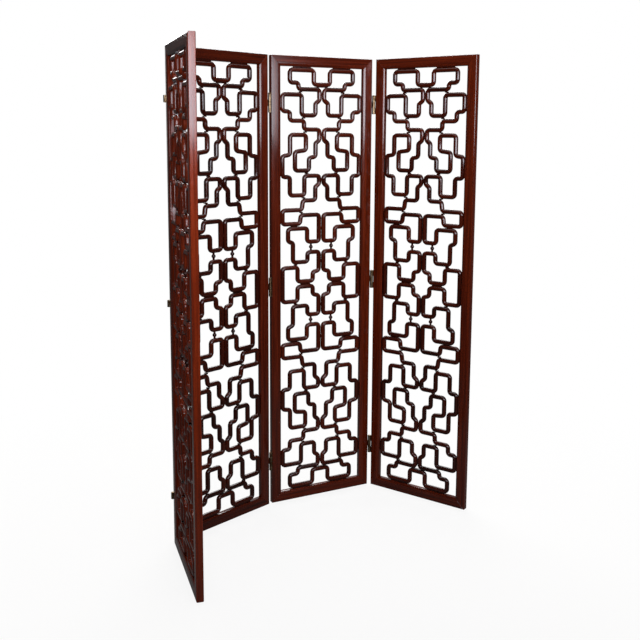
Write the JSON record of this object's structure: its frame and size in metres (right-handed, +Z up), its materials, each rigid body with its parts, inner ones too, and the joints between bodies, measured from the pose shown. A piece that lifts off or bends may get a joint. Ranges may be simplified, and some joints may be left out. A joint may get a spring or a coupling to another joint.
{
  "type": "folding screen",
  "caption": "Freestanding wooden folding screen: narrow framed panels of rounded openwork fretwork, joined by brass hinges that fold both ways, set in an open curve.",
  "frame": {"origin": "on the floor, in the middle of the ground that the opened screen covers", "axes": "+Z up, +Y from the viewer's side to the back of the screen, +X to the right as seen from the front"},
  "size_m": [1.1635, 1.0394, 1.829],
  "materials": {
    "frame_wood": "polished dark red rosewood",
    "lattice_wood": "polished dark red rosewood, rounded by hand",
    "hinge_brass": "aged brass, satin",
    "pin_brass": "aged brass, satin",
    "screw_brass": "aged brass, slotted"
  },
  "bodies": {
    "panel_1": {"hinge_a_leaf_left": "hinge_brass", "hinge_a_screws_left": "screw_brass", "panel_1_beads": "lattice_wood", "panel_1_fret_lower_left": "lattice_wood", "panel_1_fret_lower_right": "lattice_wood", "panel_1_fret_upper_left": "lattice_wood", "panel_1_fret_upper_right": "lattice_wood", "panel_1_rail_bottom": "frame_wood", "panel_1_rail_top": "frame_wood", "panel_1_stile_left": "frame_wood", "panel_1_stile_right": "frame_wood", "panel_1_ties": "lattice_wood"},
    "panel_2": {"hinge_a_leaf_right": "hinge_brass", "hinge_a_screws_right": "screw_brass", "hinge_b_leaf_left": "hinge_brass", "hinge_b_screws_left": "screw_brass", "panel_2_beads": "lattice_wood", "panel_2_fret_lower_left": "lattice_wood", "panel_2_fret_lower_right": "lattice_wood", "panel_2_fret_upper_left": "lattice_wood", "panel_2_fret_upper_right": "lattice_wood", "panel_2_rail_bottom": "frame_wood", "panel_2_rail_top": "frame_wood", "panel_2_stile_left": "frame_wood", "panel_2_stile_right": "frame_wood", "panel_2_ties": "lattice_wood"},
    "panel_3": {"hinge_b_leaf_right": "hinge_brass", "hinge_b_screws_right": "screw_brass", "hinge_c_leaf_left": "hinge_brass", "hinge_c_screws_left": "screw_brass", "panel_3_beads": "lattice_wood", "panel_3_fret_lower_left": "lattice_wood", "panel_3_fret_lower_right": "lattice_wood", "panel_3_fret_upper_left": "lattice_wood", "panel_3_fret_upper_right": "lattice_wood", "panel_3_rail_bottom": "frame_wood", "panel_3_rail_top": "frame_wood", "panel_3_stile_left": "frame_wood", "panel_3_stile_right": "frame_wood", "panel_3_ties": "lattice_wood"},
    "panel_4": {"hinge_c_leaf_right": "hinge_brass", "hinge_c_screws_right": "screw_brass", "panel_4_beads": "lattice_wood", "panel_4_fret_lower_left": "lattice_wood", "panel_4_fret_lower_right": "lattice_wood", "panel_4_fret_upper_left": "lattice_wood", "panel_4_fret_upper_right": "lattice_wood", "panel_4_rail_bottom": "frame_wood", "panel_4_rail_top": "frame_wood", "panel_4_stile_left": "frame_wood", "panel_4_stile_right": "frame_wood", "panel_4_ties": "lattice_wood"},
    "link_a": {"hinge_a_links": "hinge_brass", "hinge_a_pins": "pin_brass"},
    "link_b": {"hinge_b_links": "hinge_brass", "hinge_b_pins": "pin_brass"},
    "link_c": {"hinge_c_links": "hinge_brass", "hinge_c_pins": "pin_brass"}
  },
  "joints": [
    {"name": "fold_b_front_pin", "type": "hinge", "parent": "panel_3", "child": "link_b", "pos_m": [-0.22592, 0.27409, 0.9145], "axis": [0, 0, -1], "range_deg": [-85, 19.6]},
    {"name": "fold_b_back_pin", "type": "hinge", "parent": "link_b", "child": "panel_2", "pos_m": [-0.24586, 0.29288, 0.9145], "axis": [0, 0, -1], "range_deg": [0, 180]},
    {"name": "fold_a_front_pin", "type": "hinge", "parent": "panel_2", "child": "link_a", "pos_m": [-0.54976, -0.06956, 0.9145], "axis": [0, 0, 1], "range_deg": [-61.1, 118.9]},
    {"name": "fold_a_back_pin", "type": "hinge", "parent": "link_a", "child": "panel_1", "pos_m": [-0.57585, -0.07794, 0.9145], "axis": [0, 0, 1], "range_deg": [-180, 0]},
    {"name": "fold_c_back_pin", "type": "hinge", "parent": "panel_3", "child": "link_c", "pos_m": [0.18196, 0.51359, 0.9145], "axis": [0, 0, -1], "range_deg": [-180, 0]},
    {"name": "fold_c_front_pin", "type": "hinge", "parent": "link_c", "child": "panel_4", "pos_m": [0.19444, 0.4892, 0.9145], "axis": [0, 0, -1], "range_deg": [-63.9, 116.1]}
  ]
}
